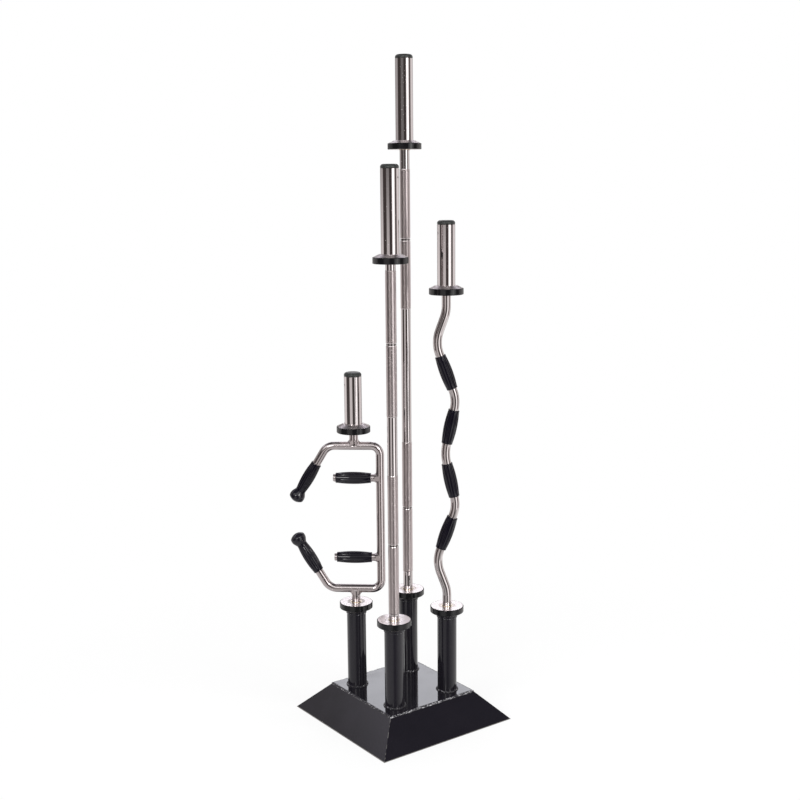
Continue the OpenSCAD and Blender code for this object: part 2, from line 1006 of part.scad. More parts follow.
curl_bar_upper_bushes();
multi_bar_frame();
multi_bar_spindles();
multi_bar_posts();
multi_bar_end_bolts();
multi_bar_short_grips();
multi_bar_long_grips();
multi_bar_end_knobs();
multi_bar_post_caps();
multi_bar_lower_sleeve();
multi_bar_lower_rim();
multi_bar_lower_cap();
multi_bar_lower_bushes();
multi_bar_upper_sleeve();
multi_bar_upper_rim();
multi_bar_upper_cap();
multi_bar_upper_bushes();
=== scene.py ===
"""Looks of the storage rack and of the four bars that stand in it.

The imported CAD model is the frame. This script gives every piece its finish, lays the
rippled weld beads, moulds the fluted grips and the knobs and sets the grub screws, then
sets up a plain studio round them. All lengths are in metres.
"""
import math

import bmesh
import bpy
import numpy as np
from mathutils import Matrix, Vector, noise


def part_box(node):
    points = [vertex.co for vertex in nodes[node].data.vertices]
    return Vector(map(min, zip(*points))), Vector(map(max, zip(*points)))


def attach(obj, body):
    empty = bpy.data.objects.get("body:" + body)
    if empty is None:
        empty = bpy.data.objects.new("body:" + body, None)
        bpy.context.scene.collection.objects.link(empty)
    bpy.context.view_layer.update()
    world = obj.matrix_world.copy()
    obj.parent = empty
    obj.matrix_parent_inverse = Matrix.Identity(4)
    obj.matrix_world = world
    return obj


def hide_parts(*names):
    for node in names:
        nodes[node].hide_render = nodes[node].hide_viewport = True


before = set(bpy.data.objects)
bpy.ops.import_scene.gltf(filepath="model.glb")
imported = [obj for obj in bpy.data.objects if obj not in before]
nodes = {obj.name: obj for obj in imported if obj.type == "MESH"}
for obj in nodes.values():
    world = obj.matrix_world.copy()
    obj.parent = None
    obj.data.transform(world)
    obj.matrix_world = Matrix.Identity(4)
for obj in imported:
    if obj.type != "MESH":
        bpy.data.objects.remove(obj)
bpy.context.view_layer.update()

MM = 0.001
BARS = ("long_bar", "short_bar", "curl_bar", "multi_bar")

# Sizes that the beads, grips, knobs and screws share with the CAD source
PLATE_TOP = 84 * MM
EDGE_BEAD_R = 3.5 * MM
EDGE_BEAD_OUT = 148.4 * MM
EDGE_BEAD_Z = 80 * MM
SEAT = 95 * MM
TUBE_R = 28 * MM
FLUTE_COUNT = 10
FLUTE_R = 4 * MM
FLUTE_DEPTH = 1.4 * MM
FLUTE_SHARE = 0.97
GRIP_RING = 5 * MM
KNOB_SEAT = 15 * MM
KNOB_NECK_R = 15 * MM
KNOB_R = 22 * MM
KNOB_CONE = 13.5 * MM
KNOB_LEN = 35.5 * MM
KNOB_DOME = 10.5 * MM
SCREW_DROP = 24 * MM
SLEEVE_R = 25 * MM
SCREW_SIDE = {"long_bar": 212, "short_bar": 296, "curl_bar": 166, "multi_bar": 165}
BAR_TURN = {"curl_bar": -35.5, "multi_bar": -39.5}
FRAME_R = 12 * MM
SPINDLE_R = 12.5 * MM
POST_R = 11 * MM
POST_GAP = 238 * MM
SPINE_X = 75 * MM
STRAIGHT_R = 14 * MM

# Sizes of fine details that the CAD source leaves out
KNURL_STARTS = 56
KNURL_PITCH = 2.86 * MM
BEAD_SIDES = 14
EDGE_RIPPLE = 3.4 * MM
FOOT_RIPPLE = 4.3 * MM
MOUTH_RIPPLE = 2.6 * MM

# The photograph's eye, fitted to the rack's corners, the collars and the caps
EYE_BACK = (-0.57974, -0.79512, 0.17801)
EYE_RIGHT = (0.80802, -0.58914, 0)
EYE_ROLL = -0.515
EYE_PLACE = (-2.0046, -2.7519, 1.5617)
EYE_LENS = 54.82

# How strongly the studio shines in the gloss, so that its tones can go past white, and
# the tints of its walls and lamps
STUDIO_SHINE = 8.0
PLAIN = (1.0, 0.99, 0.985)
PINK = (1.0, 0.955, 0.945)
BROWN = (1.0, 0.84, 0.80)


# Camera


def place_camera():
    """Looks at the rack's front corner; gives the ways back from it and to its right."""
    back = Vector(EYE_BACK).normalized()
    right = Vector(EYE_RIGHT).normalized()
    up = back.cross(right)
    roll = math.radians(EYE_ROLL)
    across = right * math.cos(roll) + up * math.sin(roll)
    upward = up * math.cos(roll) - right * math.sin(roll)
    lens = bpy.data.cameras.new("eye")
    lens.sensor_width = 36
    lens.lens = EYE_LENS
    lens.clip_start = 0.05
    lens.clip_end = 60
    eye = bpy.data.objects.new("eye", lens)
    eye.matrix_world = Matrix((across, upward, back)).transposed().to_4x4()
    eye.location = EYE_PLACE
    bpy.context.scene.collection.objects.link(eye)
    bpy.context.scene.camera = eye
    return back, right


# Shader sums


class Value:
    """A shader socket. Python's operators on it add Math nodes."""

    def __init__(self, finish, socket):
        self.finish = finish
        self.socket = socket

    def maths(self, operation, *terms):
        return self.finish.node("ShaderNodeMath", {"operation": operation}, dict(enumerate(terms)))

    def out(self, name):
        return Value(self.finish, self.socket.node.outputs[name])

    def __add__(self, other):
        return self.maths("ADD", self, other)

    __radd__ = __add__

    def __mul__(self, other):
        return self.maths("MULTIPLY", self, other)

    __rmul__ = __mul__

    def __sub__(self, other):
        return self.maths("SUBTRACT", self, other)

    def __rsub__(self, other):
        return self.maths("SUBTRACT", other, self)

    def __truediv__(self, other):
        return self.maths("DIVIDE", self, other)

    def __abs__(self):
        return self.maths("ABSOLUTE", self)


class Finish:
    """The node tree of one finish, of the floor or of the studio."""

    def __init__(self, owner):
        owner.use_nodes = True
        self.owner = owner
        self.tree = owner.node_tree
        self.tree.nodes.clear()

    def node(self, kind, settings=None, values=None, output=0):
        """Adds a node, sets it up, fills its sockets and gives one of its outputs."""
        made = self.tree.nodes.new(kind)
        for name, setting in (settings or {}).items():
            if name == "stops":
                self.set_stops(made.color_ramp.elements, setting)
            else:
                setattr(made, name, setting)
        for name, value in (values or {}).items():
            if isinstance(value, Value):
                self.tree.links.new(value.socket, made.inputs[name])
            else:
                made.inputs[name].default_value = value
        return Value(self, made.outputs[output]) if made.outputs else made

    def set_stops(self, elements, stops):
        while len(elements) > 1:
            elements.remove(elements[-1])
        for i, (place, colour) in enumerate(stops):
            stop = elements[0] if i == 0 else elements.new(place)
            stop.position = place
            stop.color = (*colour, 1)

    def place(self):
        return self.node("ShaderNodeTexCoord", output="Object")

    def parts(self, vector):
        split = self.node("ShaderNodeSeparateXYZ", values={0: vector})
        return split, split.out("Y"), split.out("Z")

    def vector(self, x, y, z):
        return self.node("ShaderNodeCombineXYZ", values={0: x, 1: y, 2: z})

    def noise(self, where, scale, detail=2.0, rough=0.5):
        return self.node(
            "ShaderNodeTexNoise",
            values={"Vector": where, "Scale": scale, "Detail": detail, "Roughness": rough},
        )

    def fade(self, value, low, high, start=0.0, end=1.0):
        """Runs smoothly from start to end as the value goes from low to high."""
        return self.node(
            "ShaderNodeMapRange",
            {"interpolation_type": "SMOOTHSTEP"},
            {0: value, 1: low, 2: high, 3: start, 4: end},
        )

    def least(self, a, b):
        return self.node("ShaderNodeMath", {"operation": "MINIMUM"}, {0: a, 1: b})

    def most(self, a, b):
        return self.node("ShaderNodeMath", {"operation": "MAXIMUM"}, {0: a, 1: b})

    def root(self, value):
        return self.node("ShaderNodeMath", {"operation": "SQRT"}, {0: value})

    def to_and_fro(self, value):
        """Goes from 0 to 1 and back each time that the value grows by 1."""
        return self.node("ShaderNodeMath", {"operation": "PINGPONG"}, {0: value, 1: 0.5}) * 2.0

    def colour(self, share, a, b):
        """A colour that goes from a to b with the share."""
        a, b = ((*end, 1) if isinstance(end, tuple) else end for end in (a, b))
        return self.node("ShaderNodeMix", {"data_type": "RGBA"}, {0: share, 6: a, 7: b}, output=2)

    def bump(self, height, depth, strength=1.0):
        return self.node(
            "ShaderNodeBump", values={"Height": height, "Distance": depth, "Strength": strength}
        )

    def surface(self, **sockets):
        """Ends the finish in one Principled shader; underscores stand for spaces."""
        values = {name.replace("_", " "): value for name, value in sockets.items()}
        shader = self.node("ShaderNodeBsdfPrincipled", values=values)
        self.node("ShaderNodeOutputMaterial", values={"Surface": shader})
        return self.owner


def new_finish(name):
    return Finish(bpy.data.materials.new(name))


def off_axis(f, x, y):
    """How far the point lies off the axis of its bar: in x, in y and straight out."""
    dx, dy = abs(x) - SEAT, abs(y) - SEAT
    return dx, dy, f.root(dx * dx + dy * dy)


# Finishes


def powder_coat(name, lumpy):
    """Clear gloss black over steel: orange peel, fine specks, knocked corners and a pale bottom
    edge that is partly a painted highlight; painted highlights on weld beads.
    """
    f = new_finish(name)
    where = f.place()
    x, y, z = f.parts(where)
    peel = f.noise(where, 230, 1.0)
    specks = f.noise(where, 1500, 1.0)
    patches = f.noise(where, 70, 3.0)
    handling = f.noise(where, 14, 3.0, 0.6)
    corner = f.fade(abs(abs(x) - abs(y)), 0.35 * MM, 1.1 * MM, 1, 0)
    corner = corner * f.fade(z, 78 * MM, 79 * MM, 1, 0)
    # Along the bottom edge a pale, metal-like line: partly paint rubbed off on the floor, partly a
    # painted highlight where a rounded edge would catch the light.
    foot = f.fade(z, 0.9 * MM, 2.0 * MM, 1, 0)
    knocked = corner * f.fade(patches, 0.46, 0.56)
    scraped_and_edge_highlight = foot * f.fade(patches, 0.32, 0.44, 0.55, 1.0)
    wear_and_edge_highlight = f.most(knocked, scraped_and_edge_highlight)
    body = f.colour(handling, (0.0095, 0.0088, 0.0125), (0.0150, 0.0132, 0.0185))
    base = f.colour(wear_and_edge_highlight * 0.85, body, (0.40, 0.385, 0.36))
    gloss = f.fade(handling, 0.35, 0.75, 0.055, 0.12) + wear_and_edge_highlight * 0.3
    metal = wear_and_edge_highlight * 0.7
    if lumpy:
        # Painted highlights on the weld beads: light, partly metallic specks stand in for sparkles
        # of the studio light, made more frequent along the front edge where that bead catches more
        # light.
        front_edge_glint_boost = f.fade(y, -142 * MM, -139 * MM, 0.075, 0.0)
        painted_glints = f.fade(f.noise(where, 230, 2.0, 0.7) + front_edge_glint_boost, 0.60, 0.655)
        base = f.colour(painted_glints, base, (0.80, 0.79, 0.82))
        metal = f.most(metal, painted_glints * 0.6)
        gloss = gloss + painted_glints * 0.12
    depth = (0.9 if lumpy else 0.16) * MM
    height = peel * (0.5 if lumpy else 0.8) + specks * (0.3 if lumpy else 0.12)
    return f.surface(
        Base_Color=base,
        Roughness=gloss,
        Metallic=metal,
        IOR=1.6 if lumpy else 1.5,
        Normal=f.bump(height, depth, 0.6 if lumpy else 0.35),
    )


def turned_steel():
    """Bright turned sleeves and collars, with the lathe's fine rings round the axis."""
    f = new_finish("turned_sleeve_steel")
    where = f.place()
    x, y, z = f.parts(where)
    r = off_axis(f, x, y)[2]
    collar = f.fade(r, SLEEVE_R + 0.4 * MM, SLEEVE_R + 1.0 * MM)
    rings = f.noise(f.vector(r * 3.0, 0.0, z), 900, 2.0, 0.7)
    bands = f.noise(f.vector(r, 0.0, z), 60, 2.0)
    return f.surface(
        Base_Color=f.colour(bands, (0.725, 0.675, 0.675), (0.805, 0.752, 0.755)),
        Roughness=0.08 + rings * 0.015 + collar * 0.22,
        Metallic=1.0,
    )


def straight_steel(bar, middle, mark):
    """Straight shaft: bright, knurled in diamonds where it is wider, with painted shade in the
    knurl's recesses and in its two ring marks.
    """
    f = new_finish(f"{bar}_knurled_steel")
    where = f.place()
    x, y, z = f.parts(where)
    dx, dy, r = off_axis(f, x, y)
    knurled = f.fade(r, STRAIGHT_R + 0.1 * MM, STRAIGHT_R + 0.5 * MM)
    sweep = f.node("ShaderNodeMath", {"operation": "ARCTAN2"}, {0: dy, 1: dx}) / math.tau
    sweep = sweep * KNURL_STARTS
    rise = z * (1 / KNURL_PITCH)
    cuts = [f.to_and_fro(turn + 1000.0) for turn in (sweep + rise, sweep - rise)]
    diamonds = f.least(f.least(cuts[0], cuts[1]), 0.75)
    grime = f.noise(where, 38, 3.0, 0.6)
    streaks = f.noise(f.vector(x, y, z * 0.01), 900, 2.0)
    bright = f.colour(streaks, (0.705, 0.655, 0.655), (0.785, 0.733, 0.735))
    # Painted shade: the knurl's recesses between the diamond tips are coloured darker than the
    # tips.
    tips = diamonds * f.fade(grime, 0.3, 0.7, 0.8, 1.0)
    knurl_with_recess_shade = f.colour(tips, (0.52, 0.455, 0.453), (0.845, 0.767, 0.768))
    # Painted shade: the two ring marks are coloured near-black, standing in for the shade inside
    # their narrow recesses.
    ring_mark_shade = f.fade(abs(abs(z - middle) - mark), 0.9 * MM, 1.7 * MM, 1, 0)
    bright = f.colour(ring_mark_shade, bright, (0.10, 0.085, 0.08))
    return f.surface(
        Base_Color=f.colour(knurled, bright, knurl_with_recess_shade),
        Roughness=0.08 + streaks * 0.02 + knurled * 0.20 + ring_mark_shade * 0.2,
        Metallic=1.0,
        Normal=f.bump(diamonds * knurled, 0.30 * MM, 0.16),
    )


def bent_steel(name, dark, light, smooth):
    """Bent rod with faint clouds and handling marks."""
    f = new_finish(name)
    where = f.place()
    marks = f.noise(where, 160, 3.0, 0.6)
    clouds = f.noise(where, 17, 2.0)
    return f.surface(
        Base_Color=f.colour(clouds, dark, light),
        Roughness=smooth + f.fade(marks, 0.45, 0.8) * 0.015,
        Metallic=1.0,
    )


def band_rubber():
    """Matt black band round a collar, moulded with a fine grain."""
    f = new_finish("collar_band_black")
    where = f.place()
    grain = f.noise(where, 1300, 2.0)
    scuffs = f.noise(where, 60, 4.0, 0.7)
    scuffed = f.fade(scuffs, 0.55, 0.75)
    return f.surface(
        Base_Color=f.colour(scuffed, (0.006, 0.006, 0.007), (0.018, 0.017, 0.017)),
        Roughness=0.10 + scuffs * 0.10,
        IOR=1.5,
        Normal=f.bump(grain, 0.03 * MM, 0.4),
    )


def cap_plastic():
    """Black moulded end cap with a soft shine and a fine spark-eroded grain."""
    f = new_finish("end_cap_plastic")
    where = f.place()
    grain = f.noise(where, 1700, 1.0)
    scuffs = f.noise(where, 90, 3.0, 0.65)
    return f.surface(
        Base_Color=f.colour(scuffs, (0.020, 0.022, 0.021), (0.036, 0.039, 0.037)),
        Roughness=0.30 + scuffs * 0.14,
        IOR=1.49,
        Normal=f.bump(grain, 0.035 * MM, 0.5),
    )


def grip_rubber():
    """Glossy black hard rubber, slightly dulled where hands polish it unevenly."""
    f = new_finish("grip_black_rubber")
    where = f.place()
    skin = f.noise(where, 700, 2.0)
    dull = f.noise(where, 45, 3.0, 0.6)
    return f.surface(
        Base_Color=f.colour(dull, (0.0020, 0.0014, 0.0055), (0.0040, 0.0030, 0.0080)),
        Roughness=0.035 + f.fade(dull, 0.35, 0.75) * 0.04,
        IOR=1.45,
        Normal=f.bump(skin, 0.01 * MM, 0.2),
    )


def knob_resin():
    """Polished black knob on the end of an angled handle."""
    f = new_finish("knob_black_resin")
    where = f.place()
    clouds = f.noise(where, 60, 2.0)
    return f.surface(
        Base_Color=f.colour(clouds, (0.006, 0.005, 0.010), (0.011, 0.010, 0.015)),
        Roughness=0.03 + f.fade(clouds, 0.4, 0.8) * 0.03,
        IOR=1.5,
        Normal=f.bump(clouds, 0.05 * MM, 0.2),
    )


def bush_bronze():
    """Warm bearing bronze, turned; its nose shows round the shaft's foot."""
    f = new_finish("bearing_bronze")
    where = f.place()
    x, y, z = f.parts(where)
    r = off_axis(f, x, y)[2]
    rings = f.noise(f.vector(r * 2.0, 0.0, z), 1100, 2.0, 0.7)
    return f.surface(
        Base_Color=f.colour(rings, (0.66, 0.57, 0.46), (0.78, 0.71, 0.62)),
        Roughness=0.24 + rings * 0.10,
        Metallic=1.0,
        Normal=f.bump(rings, 0.02 * MM, 0.5),
    )


def plated_screw():
    """Dark zinc-plated screws and bolts."""
    f = new_finish("plated_screw_steel")
    where = f.place()
    clouds = f.noise(where, 400, 3.0)
    return f.surface(
        Base_Color=f.colour(clouds, (0.20, 0.20, 0.21), (0.42, 0.41, 0.40)),
        Roughness=0.28 + clouds * 0.14,
        Metallic=1.0,
        Normal=f.bump(clouds, 0.03 * MM, 0.4),
    )


coat = powder_coat("gloss_black_powder_coat", lumpy=False)
bead_coat = powder_coat("gloss_black_over_weld", lumpy=True)
sleeve_steel = turned_steel()
long_steel = straight_steel("long_bar", 993.5 * MM, 398 * MM)
short_steel = straight_steel("short_bar", 841 * MM, 282 * MM)
rod_steel = bent_steel("curl_bar_bright_steel", (0.575, 0.525, 0.52), (0.675, 0.622, 0.62), 0.08)
frame_steel = bent_steel("handle_frame_steel", (0.585, 0.525, 0.525), (0.665, 0.603, 0.605), 0.12)
band_black = band_rubber()
cap_black = cap_plastic()
grip_black = grip_rubber()
knob_black = knob_resin()
bronze = bush_bronze()
screw_steel = plated_screw()

FINISH_BY_ENDING = (
    ("_sleeve", sleeve_steel),
    ("_rim", band_black),
    ("_bushes", bronze),
    ("_end_bolts", screw_steel),
    ("_post_caps", sleeve_steel),
    ("_cap", cap_black),
    ("_grips", grip_black),
    ("_end_knobs", knob_black),
    ("long_bar_shaft", long_steel),
    ("short_bar_shaft", short_steel),
    ("curl_bar_shaft", rod_steel),
    ("_frame", frame_steel),
    ("_spindles", frame_steel),
    ("_posts", frame_steel),
)


def dress_nodes():
    for name, node in nodes.items():
        finish = next((made for ending, made in FINISH_BY_ENDING if name.endswith(ending)), coat)
        node.data.materials.clear()
        node.data.materials.append(finish)


# Pieces


def whole_spin(bm, outline, steps, closed):
    """Turns an outline of radii and heights round the z axis; gives the new points."""
    before = set(bm.verts)
    profile = [bm.verts.new((r, 0, h)) for r, h in outline]
    followers = profile[1:] + profile[:1] if closed else profile[1:]
    chain = [bm.edges.new(pair) for pair in zip(profile, followers)]
    bmesh.ops.spin(
        bm, geom=profile + chain, cent=(0, 0, 0), axis=(0, 0, 1), angle=math.tau, steps=steps,
        use_merge=True,
    )
    return [v for v in bm.verts if v not in before]


def make_piece(bm, name, finish, body, slot, *replaced, crease=40):
    """Turns a bmesh into a finished piece that rides on a body."""
    bmesh.ops.remove_doubles(bm, verts=bm.verts, dist=0.002 * MM)
    bmesh.ops.recalc_face_normals(bm, faces=bm.faces)
    mesh = bpy.data.meshes.new(name)
    bm.to_mesh(mesh)
    bm.free()
    mesh.polygons.foreach_set("use_smooth", [True] * len(mesh.polygons))
    mesh.set_sharp_from_angle(angle=math.radians(crease))
    mesh.materials.append(finish)
    piece = bpy.data.objects.new(name, mesh)
    bpy.context.scene.collection.objects.link(piece)
    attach(piece, body)
    if replaced:
        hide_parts(*replaced)


def ripple(s, pitch, seed):
    """Height of a weld bead's ripples and lumps at the length s, from about -1 to 1."""
    beat = s / pitch + 0.35 * noise.noise(Vector((s / (3 * pitch), seed, 0)))
    scallop = abs(math.sin(math.pi * beat)) ** 0.7
    lump = noise.noise(Vector((s / (2.2 * pitch), seed, 7)))
    return 0.9 * (scallop - 0.6) + 1.1 * lump


def swell_bead(verts, axis_of, pitch, size, seed):
    """Moves a bead's points out and in round its own axis, with its ripples."""
    for vert in verts:
        s, centre = axis_of(vert.co)
        out = vert.co - centre
        grit = noise.noise(vert.co * 900)
        vert.co = centre + out * (1 + size * ripple(s, pitch, seed) + 0.35 * size * grit)


def edge_bead(bm, side, bead_r):
    """One rippled bead along an edge of the top plate, added to the others."""
    turn = Matrix.Rotation(side * math.pi / 2, 4, "Z")
    seam = turn @ Matrix.Translation((0, -EDGE_BEAD_OUT, EDGE_BEAD_Z))
    seam = seam @ Matrix.Rotation(math.pi / 2, 4, "Y")
    rod = bmesh.new()
    bmesh.ops.create_cone(
        rod, cap_ends=True, segments=BEAD_SIDES, radius1=bead_r, radius2=bead_r,
        depth=2 * EDGE_BEAD_OUT,
    )
    long_edges = [e for e in rod.edges if e.calc_length() > EDGE_BEAD_OUT]
    bmesh.ops.subdivide_edges(rod, edges=long_edges, cuts=260, use_grid_fill=True)
    swell_bead(rod.verts, lambda co: (co.z, Vector((0, 0, co.z))), EDGE_RIPPLE, 0.2, side * 3.7)
    bmesh.ops.transform(rod, matrix=seam, verts=rod.verts)
    laid = bpy.data.meshes.new("laid_bead")
    rod.to_mesh(laid)
    rod.free()
    bm.from_mesh(laid)
    bpy.data.meshes.remove(laid)


def edge_beads():
    """The beads of the four edges, with a lump where they meet at each corner."""
    bm = bmesh.new()
    bead_r = EDGE_BEAD_R * 0.98
    for x in (-EDGE_BEAD_OUT, EDGE_BEAD_OUT):
        for y in (-EDGE_BEAD_OUT, EDGE_BEAD_OUT):
            centre = Vector((x, y, EDGE_BEAD_Z))
            lump = bmesh.ops.create_icosphere(
                bm, subdivisions=4, radius=bead_r * 1.02, matrix=Matrix.Translation(centre)
            )["verts"]
            for vert in lump:
                out = vert.co - centre
                vert.co = centre + out * (1 + 0.10 * noise.noise(vert.co * 420))
    for side in range(4):
        edge_bead(bm, side, bead_r)
    make_piece(bm, "plate_edge_beads", bead_coat, "rack", "black_coat", "base_welds", crease=180)


def ring_bead(bm, centre, ring_r, bead_r, pitch, size, seed, steps=220):
    """A rippled bead that runs round a tube."""
    start = Matrix.Translation(centre + Vector((ring_r, 0, 0)))
    start = start @ Matrix.Rotation(math.pi / 2, 4, "X")
    circle = bmesh.ops.create_circle(bm, segments=BEAD_SIDES, radius=bead_r, matrix=start)["verts"]
    edges = list({e for v in circle for e in v.link_edges})
    before = set(bm.verts) - set(circle)
    bmesh.ops.spin(
        bm, geom=circle + edges, cent=centre, axis=(0, 0, 1), angle=math.tau, steps=steps,
        use_merge=True,
    )

    def bead_axis(co):
        angle = math.atan2(co.y - centre.y, co.x - centre.x)
        hub = centre + Vector((math.cos(angle), math.sin(angle), 0)) * ring_r
        return angle * ring_r, hub

    swell_bead([v for v in bm.verts if v not in before], bead_axis, pitch, size, seed)


def seats():
    return [Vector((x, y, 0)) for x in (-SEAT, SEAT) for y in (-SEAT, SEAT)]


def tube_beads():
    """Round each tube's foot a fillet bead, and a small one under each mouth ring."""
    bm = bmesh.new()
    for i, seat in enumerate(seats()):
        foot = seat + Vector((0, 0, PLATE_TOP + 0.5 * MM))
        ring_bead(bm, foot, TUBE_R + 0.5 * MM, 3.9 * MM, FOOT_RIPPLE, 0.2, 11 + i)
    make_piece(bm, "tube_foot_beads", bead_coat, "rack", "black_coat", "tube_welds", crease=180)
    bm = bmesh.new()
    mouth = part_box("mouth_rings")[0].z
    for i, seat in enumerate(seats()):
        under = seat + Vector((0, 0, mouth + 0.3 * MM))
        ring_bead(bm, under, TUBE_R + 0.3 * MM, 1.45 * MM, MOUTH_RIPPLE, 0.22, 31 + i)
    make_piece(bm, "mouth_ring_beads", bead_coat, "rack", "black_coat", crease=180)


def neck_weld(bm, place, rod_r, along, across, height):
    """A smooth fillet where a rod stands on the bent frame, running out to nothing at its top."""
    layers = 12
    sunk = 1.5 * MM
    fresh = whole_spin(bm, [(i + 1, 0) for i in range(2 * layers + 2)], 120, closed=True)
    for vert in fresh:
        step = round(math.hypot(vert.co.x, vert.co.y)) - 1
        angle = math.atan2(vert.co.y, vert.co.x)
        outside = step <= layers
        up = (step if outside else 2 * layers + 1 - step) / layers
        reach = along * math.cos(angle) ** 2 + across * math.sin(angle) ** 2
        ripples = 0.05 * math.sin(rod_r * angle / (0.35 * MM))
        reach *= 1 + ripples + 0.10 * noise.noise(vert.co * 0.4)
        r = rod_r + (reach * (1 - up) ** 2.2 - 0.05 * MM if outside else -sunk)
        stand = math.sqrt(max((FRAME_R + 0.05 * MM) ** 2 - (r * math.sin(angle)) ** 2, 0))
        vert.co = Vector((r * math.cos(angle), r * math.sin(angle), stand + height * up))
        if not outside:
            vert.co.z -= sunk
    bmesh.ops.transform(bm, matrix=place, verts=fresh)


def neck_welds():
    """Fillets at the feet of the multi-grip bar's two spindles and two handle posts."""
    low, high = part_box("multi_bar_frame")
    turn = Matrix.Rotation(math.radians(BAR_TURN["multi_bar"]), 4, "Z")
    middle = Matrix.Translation((-SEAT, SEAT, (low.z + high.z) / 2)) @ turn
    bm = bmesh.new()
    for up in (-1, 1):
        rail = Matrix.Translation((0, 0, up * ((high.z - low.z) / 2 - FRAME_R)))
        flip = Matrix.Rotation(0 if up == 1 else math.pi, 4, "X")
        neck_weld(bm, middle @ rail @ flip, SPINDLE_R, 5.5 * MM, 1.2 * MM, 10 * MM)
        post = Matrix.Translation((SPINE_X, 0, up * POST_GAP / 2))
        post = post @ Matrix.Rotation(-math.pi / 2, 4, "Y")
        neck_weld(bm, middle @ post, POST_R, 4.0 * MM, 1.6 * MM, 6.5 * MM)
    make_piece(bm, "neck_welds", frame_steel, "multi_bar_middle", "bent_steel", crease=70)


def grip_places(name, normal, flute_in_plane):
    """Length and place of each grip of a CAD node: its middle, its axis and a flute's side."""
    bm = bmesh.new()
    bm.from_mesh(nodes[name].data)
    bmesh.ops.remove_doubles(bm, verts=bm.verts, dist=0.01 * MM)
    left = set(bm.faces)
    places = []
    while left:
        island, edge_of_it = set(), [left.pop()]
        while edge_of_it:
            face = edge_of_it.pop()
            island.add(face)
            found = {f for e in face.edges for f in e.link_faces} & left
            left -= found
            edge_of_it.extend(found)
        corners = np.array([[v.co[:] for v in f.verts[:3]] for f in island], float)
        shift = corners.reshape(-1, 3).mean(0)
        a, b, c = (corners[:, i] - shift for i in range(3))
        share = np.einsum("ij,ij->i", a, np.cross(b, c)) / 6
        whole = share.sum()
        centre = (share[:, None] * (a + b + c)).sum(0) / 4 / whole
        spread = sum(np.einsum("i,ij,ik->jk", share, p, p) for p in (a + b + c, a, b, c)) / 20
        spread = spread / whole - np.outer(centre, centre)
        axis = Vector(np.linalg.eigh(spread)[1][:, -1]).normalized()
        if axis.dot(Vector((0.1, 0.2, 1))) < 0:
            axis = -axis
        middle = Vector(centre + shift)
        run = [axis.dot(v.co - middle) for v in {v for f in island for v in f.verts}]
        side = normal.cross(axis).normalized() if flute_in_plane else normal
        third = axis.cross(side).normalized()
        turn = Matrix((side, third, axis)).transposed().to_4x4()
        places.append((max(run) - min(run), Matrix.Translation(middle) @ turn))
    bm.free()
    return sorted(places, key=lambda place: tuple(place[1].translation))


def mould_grip(bm, length, end_d, mid_d, bore_d, place):
    """A barrel-shaped grip with soft-edged flutes that follow its swell and then run out."""
    end_r, bore_r = end_d / 2 * MM, bore_d / 2 * MM
    bulge = (mid_d - end_d) / 2 * MM
    body = length / 2 - GRIP_RING
    end = length / 2
    lip = 0.7 * MM
    rounded = ((bore_r, 0), (end_r - lip, 0), (end_r - 0.3 * lip, 0.3 * lip), (end_r, lip))
    outline = [(r, inset - end) for r, inset in rounded]
    outline += [(end_r, body * i / 24) for i in range(-24, 25)]
    outline += [(r, end - inset) for r, inset in reversed(rounded)]
    fresh = whole_spin(bm, outline, 200, closed=True)
    soft = 1.0 * MM
    for vert in fresh:
        r = math.hypot(vert.co.x, vert.co.y)
        if abs(vert.co.z) > body + 1e-7 or r < end_r - 0.01 * MM:
            continue
        along = abs(vert.co.z) / body
        outer = end_r + bulge * (1 - along * along)
        rise = (bulge - FLUTE_DEPTH) * (1 - min(along / FLUTE_SHARE, 1) ** 1.4)
        tool_out = end_r + rise + FLUTE_R
        angle = math.atan2(vert.co.y, vert.co.x) * FLUTE_COUNT / math.tau
        off = (angle - round(angle)) * math.tau / FLUTE_COUNT
        across = tool_out * math.sin(off)
        if along < FLUTE_SHARE and abs(across) < FLUTE_R:
            floor = tool_out * math.cos(off) - math.sqrt(FLUTE_R**2 - across**2)
            gap = max(soft - abs(outer - floor), 0) / soft
            outer = min(outer, floor) - gap * gap * soft / 4
        vert.co.x *= outer / r
        vert.co.y *= outer / r
    bmesh.ops.transform(bm, matrix=place, verts=fresh)


def fluted_grips(node, bar, end_d, mid_d, bore_d, flute_in_plane):
    turn = math.radians(BAR_TURN[bar])
    normal = Vector((-math.sin(turn), math.cos(turn), 0))
    bm = bmesh.new()
    for length, place in grip_places(node, normal, flute_in_plane):
        mould_grip(bm, length, end_d, mid_d, bore_d, place)
    body = f"{bar}_middle"
    make_piece(bm, f"{node}_moulded", grip_black, body, "grip_black", node, crease=60)


